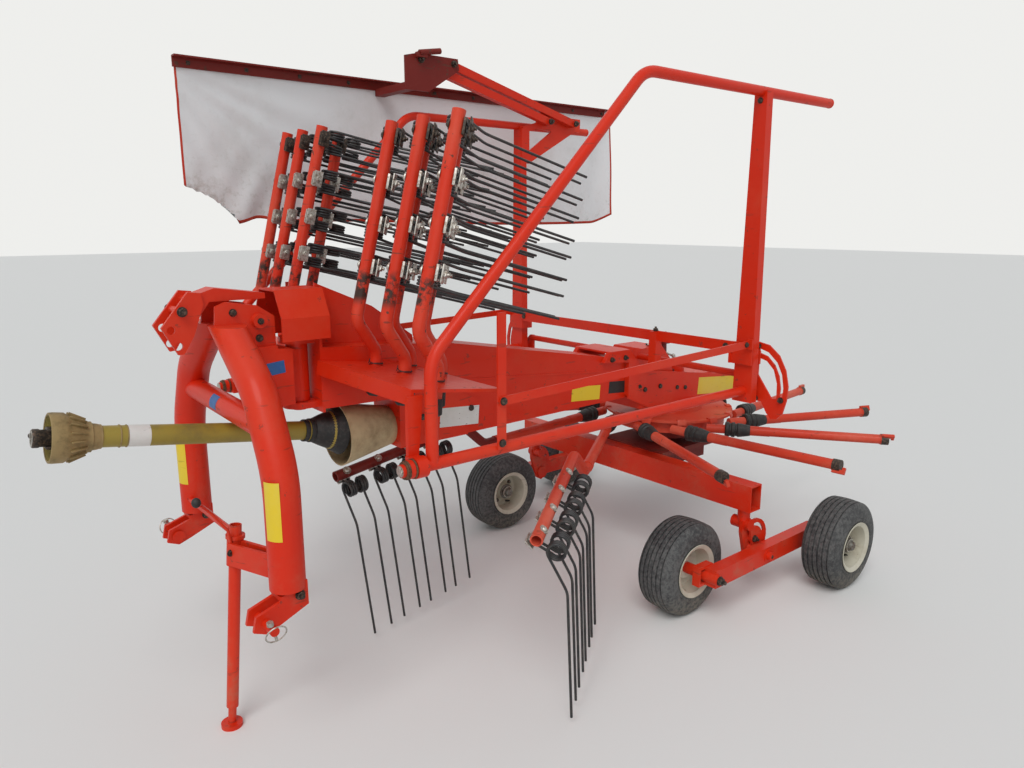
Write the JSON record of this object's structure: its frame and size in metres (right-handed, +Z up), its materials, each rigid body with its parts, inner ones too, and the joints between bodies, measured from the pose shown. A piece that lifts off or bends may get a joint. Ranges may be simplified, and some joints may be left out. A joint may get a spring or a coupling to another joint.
{
  "type": "single rotor hay rake",
  "caption": "Three-point mounted hay rake with one tine rotor, four wheels, folding guard hoops, a side curtain and tine arms stored on a front rack.",
  "frame": {"origin": "centre of the footprint on the ground", "axes": "+Z up, -Y forwards towards the tractor, +X to the machine's left"},
  "size_m": [2.1107, 3.8897, 2.4038],
  "materials": {
    "red_paint": "worn gloss orange-red paint",
    "dark_paint": "dull dark red paint",
    "faded_paint": "faded red paint",
    "cream_paint": "cream paint with a little rust",
    "black_steel": "black sprung steel",
    "worn_steel": "bare steel",
    "black_rubber": "black rubber",
    "olive_plastic": "olive-yellow plastic",
    "beige_plastic": "stained beige plastic",
    "tyre": "worn tyre rubber",
    "cloth": "stained white curtain cloth"
  },
  "bodies": {
    "main_frame": {"main_beam": "red_paint", "swivel_hood": "red_paint", "rotor_head": "red_paint", "rotor_column": "dark_paint", "axle_beam": "red_paint", "tandem_left": "red_paint", "tandem_right": "red_paint", "storage_rack": "red_paint", "stored_arms_left": "red_paint", "stored_arms_right": "red_paint", "stored_tines_left": "black_steel", "stored_tines_right": "black_steel", "input_shield": "beige_plastic", "cross_bar": "red_paint", "shaft_guard": "olive_plastic"},
    "headstock": {"headstock_frame": "red_paint", "top_link_bracket": "red_paint", "link_clevises": "red_paint"},
    "parking_stand": {"parking_stand": "red_paint"},
    "shaft_yoke": {"shaft_yoke": "worn_steel"},
    "rotor": {"rotor_disc": "faded_paint", "rotor_boots": "black_rubber", "rotor_stubs": "faded_paint", "tine_arms": "dark_paint", "rotor_tines": "black_steel"},
    "wheel_front_left": {"tyre_front_left": "tyre", "rim_front_left": "cream_paint"},
    "wheel_front_right": {"tyre_front_right": "tyre", "rim_front_right": "cream_paint"},
    "wheel_rear_left": {"tyre_rear_left": "tyre", "rim_rear_left": "cream_paint"},
    "wheel_rear_right": {"tyre_rear_right": "tyre", "rim_rear_right": "cream_paint"},
    "hoop_left": {"hoop_left": "red_paint", "hoop_post_left": "red_paint", "hoop_braces_left": "red_paint"},
    "hoop_right": {"hoop_right": "red_paint", "hoop_post_right": "red_paint", "hoop_braces_right": "red_paint", "curtain_bracket": "red_paint"},
    "curtain_bar_front": {"curtain_bar_front": "red_paint"},
    "curtain_bar_rear": {"curtain_bar_rear": "red_paint"},
    "curtain_end": {"curtain_end": "dark_paint"},
    "curtain_cloth": {"curtain_cloth": "cloth"}
  },
  "joints": [
    {"name": "headstock_swing", "type": "hinge", "parent": "main_frame", "child": "headstock", "pos_m": [0, -1.146, 1.124], "axis": [0, 0, 1], "range_deg": [-15, 15]},
    {"name": "parking_stand_slide", "type": "slide", "parent": "headstock", "child": "parking_stand", "axis": [0, 0.0906, 0.9959], "range_m": [0, 0.25]},
    {"name": "drive_yoke_spin", "type": "hinge", "parent": "main_frame", "child": "shaft_yoke", "pos_m": [0, -1.89, 1.01935], "axis": [0, 0.9894, -0.1454], "continuous": true},
    {"name": "rotor_spin", "type": "hinge", "parent": "main_frame", "child": "rotor", "pos_m": [0, 0.878, 0.65], "axis": [0, 0, 1], "continuous": true},
    {"name": "hoop_left_fold", "type": "hinge", "parent": "main_frame", "child": "hoop_left", "pos_m": [0.72, -0.34, 0.951], "axis": [0, 1, 0], "range_deg": [0, 90]},
    {"name": "hoop_right_fold", "type": "hinge", "parent": "main_frame", "child": "hoop_right", "pos_m": [-0.72, -0.34, 0.951], "axis": [0, -1, 0], "range_deg": [0, 90]},
    {"name": "curtain_bar_front_swing", "type": "hinge", "parent": "hoop_right", "child": "curtain_bar_front", "pos_m": [-0.663, 0.612, 2.141], "axis": [1, 0, 0], "range_deg": [-60, 0]},
    {"name": "curtain_bar_rear_swing", "type": "hinge", "parent": "hoop_right", "child": "curtain_bar_rear", "pos_m": [-0.663, 0.794, 2.143], "axis": [1, 0, 0], "range_deg": [-60, 0]},
    {"name": "curtain_end_level", "type": "hinge", "parent": "curtain_bar_front", "child": "curtain_end", "pos_m": [-0.663, -0.195, 2.347], "axis": [1, 0, 0], "range_deg": [0, 60]},
    {"name": "curtain_cloth_hang", "type": "hinge", "parent": "curtain_end", "child": "curtain_cloth", "pos_m": [-0.912, 0.06, 2.276], "axis": [0, 1, 0], "range_deg": [0, 90]},
    {"name": "wheel_front_left_spin", "type": "hinge", "parent": "main_frame", "child": "wheel_front_left", "pos_m": [0.608, 0.246, 0.203], "axis": [1, 0, 0], "continuous": true},
    {"name": "wheel_front_right_spin", "type": "hinge", "parent": "main_frame", "child": "wheel_front_right", "pos_m": [-0.608, 0.246, 0.203], "axis": [1, 0, 0], "continuous": true},
    {"name": "wheel_rear_left_spin", "type": "hinge", "parent": "main_frame", "child": "wheel_rear_left", "pos_m": [0.913, 0.992, 0.203], "axis": [1, 0, 0], "continuous": true},
    {"name": "wheel_rear_right_spin", "type": "hinge", "parent": "main_frame", "child": "wheel_rear_right", "pos_m": [-0.913, 0.992, 0.203], "axis": [1, 0, 0], "continuous": true}
  ],
  "couplings": [
    {"joint": "curtain_bar_rear_swing", "follows": "curtain_bar_front_swing", "ratio": 1},
    {"joint": "curtain_end_level", "follows": "curtain_bar_front_swing", "ratio": -1}
  ]
}
